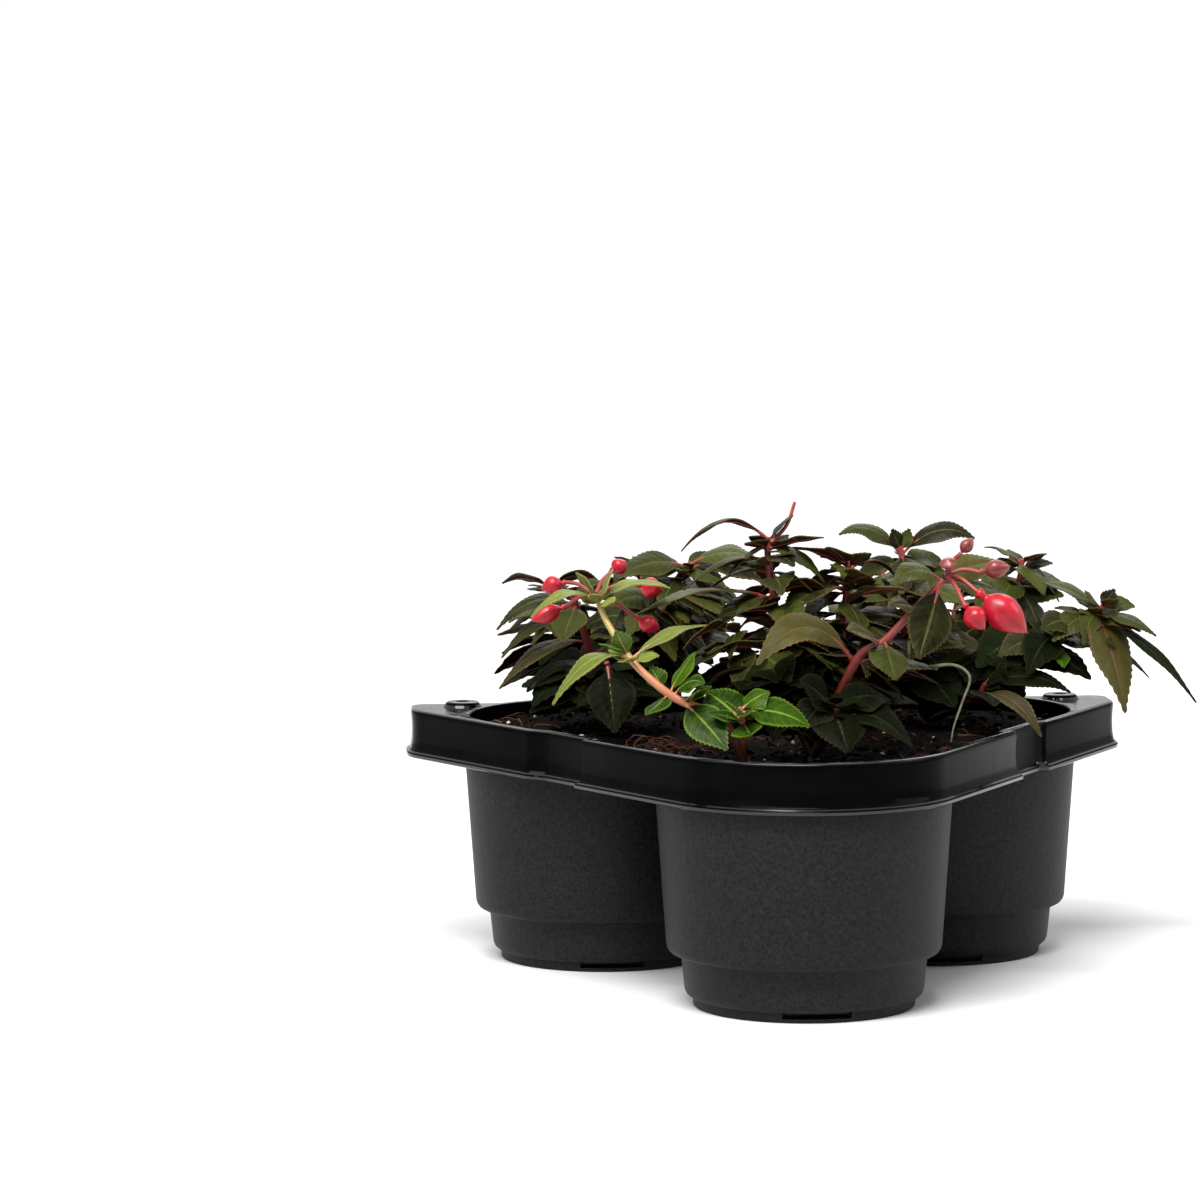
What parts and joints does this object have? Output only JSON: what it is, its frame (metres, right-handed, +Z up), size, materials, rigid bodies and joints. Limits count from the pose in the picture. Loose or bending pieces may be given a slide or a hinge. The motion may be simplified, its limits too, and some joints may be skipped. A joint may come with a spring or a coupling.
{
  "type": "fuchsia plants in a three-pot tray",
  "caption": "Bushy young fuchsias with red buds in black round pots joined by one rounded triangular rim with eyelet ears.",
  "frame": {"origin": "middle of the model's footprint, on the surface it stands on", "axes": "+Z up, -Y out of the front pot of the triangle, +X to the right seen from the front"},
  "size_m": [0.2908, 0.219, 0.1752],
  "materials": {
    "black_plastic": "glossy black rim, finely grained satin pots",
    "potting_soil": "coarse dark peat with brown fibres and a few white grains",
    "dark_foliage": "dark green toothed leaves with crimson stems and bronze undersides",
    "pale_foliage": "yellow-green leaves on a salmon stem",
    "red_buds": "waxy red buds on red stalks"
  },
  "bodies": {
    "root": {"three_pot_tray": "black_plastic", "soil": "potting_soil", "front_plant": "dark_foliage", "pale_shoot": "pale_foliage", "left_plant": "dark_foliage", "right_plant": "dark_foliage", "flower_buds": "red_buds", "pale_shoot_buds": "red_buds"}
  },
  "joints": []
}
